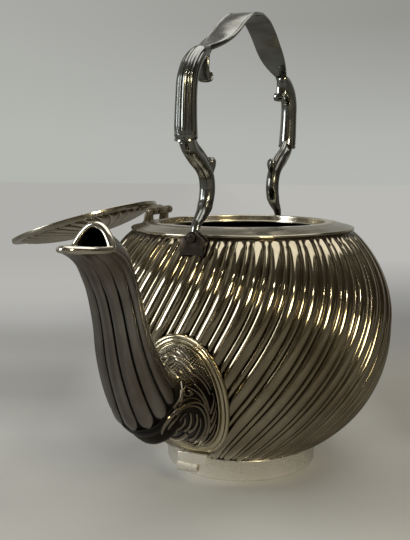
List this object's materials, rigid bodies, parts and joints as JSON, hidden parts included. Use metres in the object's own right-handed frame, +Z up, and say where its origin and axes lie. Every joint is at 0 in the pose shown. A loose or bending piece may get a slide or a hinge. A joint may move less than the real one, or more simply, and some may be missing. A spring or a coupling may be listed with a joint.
{
  "type": "kettle",
  "caption": "Spirit kettle with a swirl fluted bowl, lobed swan neck spout, side hinged domed lid, arched strap handle on shoulder pivots and cross tubes for a stand's pins.",
  "frame": {"origin": "middle of the foot ring, on the table", "axes": "+Z is up along the kettle's axis, -Y is the way the spout points, -X is the side of the lid's hinge"},
  "size_m": [0.2317, 0.2625, 0.2498],
  "materials": {
    "bowl_silver": "worn silver plate, warm tone, dark tarnish in the grooves",
    "satin_silver": "worn silver plate, softly polished",
    "spout_silver": "heavily tarnished silver plate, grey and slightly blue, black in the grooves",
    "bright_silver": "silver plate rubbed bright",
    "chased_silver": "chased silver plate, dark in the hollows",
    "dark_silver": "tarnished silver plate with worn copper tones",
    "lid_silver": "silver plate, dull inside",
    "handle_silver": "greenish grey silver plate, bright on the ridges"
  },
  "bodies": {
    "kettle": {"bowl": "bowl_silver", "neck_collar": "satin_silver", "rim_ring": "satin_silver", "foot_ring": "satin_silver", "spout": "spout_silver", "spout_lip": "bright_silver", "escutcheon_plate": "chased_silver", "escutcheon_moulding": "satin_silver", "stand_lug_front": "chased_silver", "stand_tube_front": "chased_silver", "stand_lug_rear": "chased_silver", "stand_tube_rear": "chased_silver", "hinge_lug_front": "bright_silver", "hinge_lug_rear": "bright_silver", "hinge_pin": "bright_silver", "handle_lug_front": "dark_silver", "handle_lug_rear": "dark_silver", "pivot_pin_front": "dark_silver", "pivot_pin_rear": "dark_silver"},
    "lid": {"lid_flange": "lid_silver", "lid_dome": "lid_silver", "lid_leaf": "bright_silver", "finial": "bright_silver", "finial_nut": "bright_silver"},
    "handle": {"handle_strap": "handle_silver", "leg_front": "handle_silver", "leg_rear": "handle_silver", "sheath_front": "handle_silver", "sheath_rear": "handle_silver", "volute_front": "handle_silver", "volute_rear": "handle_silver", "bud_front": "handle_silver", "bud_rear": "handle_silver"}
  },
  "joints": [
    {"name": "lid_hinge", "type": "hinge", "parent": "kettle", "child": "lid", "pos_m": [-0.052, 0, 0.141], "axis": [0, 1, 0], "range_deg": [0, 197]},
    {"name": "handle_swing", "type": "hinge", "parent": "kettle", "child": "handle", "pos_m": [0, 0, 0.13232], "axis": [0, 1, 0], "range_deg": [-1.9, 48]}
  ]
}
